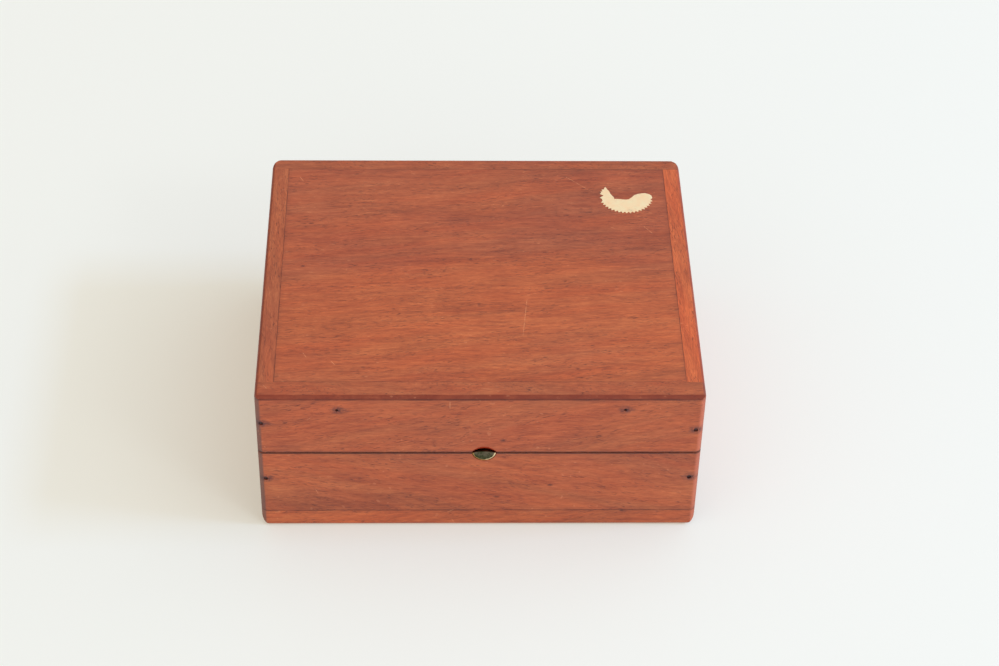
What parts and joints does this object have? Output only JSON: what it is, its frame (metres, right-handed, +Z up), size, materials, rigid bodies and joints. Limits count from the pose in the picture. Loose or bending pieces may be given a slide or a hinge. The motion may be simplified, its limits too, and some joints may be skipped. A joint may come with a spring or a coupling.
{
  "type": "sheet film holder",
  "caption": "Closed hinged wooden case with slotted racks that hold film sheets on edge, a half-round thumb catch and two butt hinges.",
  "frame": {"origin": "centre of the carcass's underside, not counting the hinge barrels behind it", "axes": "+X to the right along the long side, +Y from the thumb catch at the front to the hinges at the back, +Z up"},
  "size_m": [0.15, 0.1298, 0.0611],
  "materials": {
    "case_wood": "satin",
    "rack_wood": "matte",
    "felt": "matte",
    "brass": "satin",
    "spring_steel": "satin",
    "iron": "matte",
    "paper": "matte"
  },
  "bodies": {
    "base": {"base_front_wall": "case_wood", "base_back_wall": "case_wood", "base_left_wall": "case_wood", "base_right_wall": "case_wood", "bottom_board": "case_wood", "slot_rack_front": "rack_wood", "slot_rack_back": "rack_wood", "liner_left": "rack_wood", "liner_right": "rack_wood", "floor_felt": "felt", "hinge_base_leaf_left": "brass", "hinge_base_leaf_right": "brass", "hinge_pin_left": "brass", "hinge_pin_right": "brass", "hinge_base_screws_left": "brass", "hinge_base_screws_right": "brass", "latch_spring": "spring_steel", "latch_spring_screws": "spring_steel", "base_front_nails": "iron", "base_back_nails": "iron", "bottom_nails": "iron"},
    "lid": {"lid_front_wall": "case_wood", "lid_back_wall": "case_wood", "lid_left_wall": "case_wood", "lid_right_wall": "case_wood", "lid_panel": "case_wood", "lid_felt": "felt", "hinge_lid_leaf_left": "brass", "hinge_lid_leaf_right": "brass", "hinge_lid_screws_left": "brass", "hinge_lid_screws_right": "brass", "striker_plate": "brass", "striker_screws": "brass", "lid_front_nails": "iron", "lid_back_nails": "iron", "panel_pins": "iron", "paper_label": "paper"},
    "button": {"catch_button": "brass", "button_collar": "brass"}
  },
  "joints": [
    {"name": "lid_hinge", "type": "hinge", "parent": "base", "child": "lid", "pos_m": [0, 0.06415, 0.03525], "axis": [-1, 0, 0], "range_deg": [0, 180]},
    {"name": "button_press", "type": "slide", "parent": "base", "child": "button", "axis": [0, 1, 0], "range_m": [0, 0.0015], "stiffness_N_per_m": 400, "springref_m": -0.0005, "deforming": ["latch_spring"]}
  ]
}
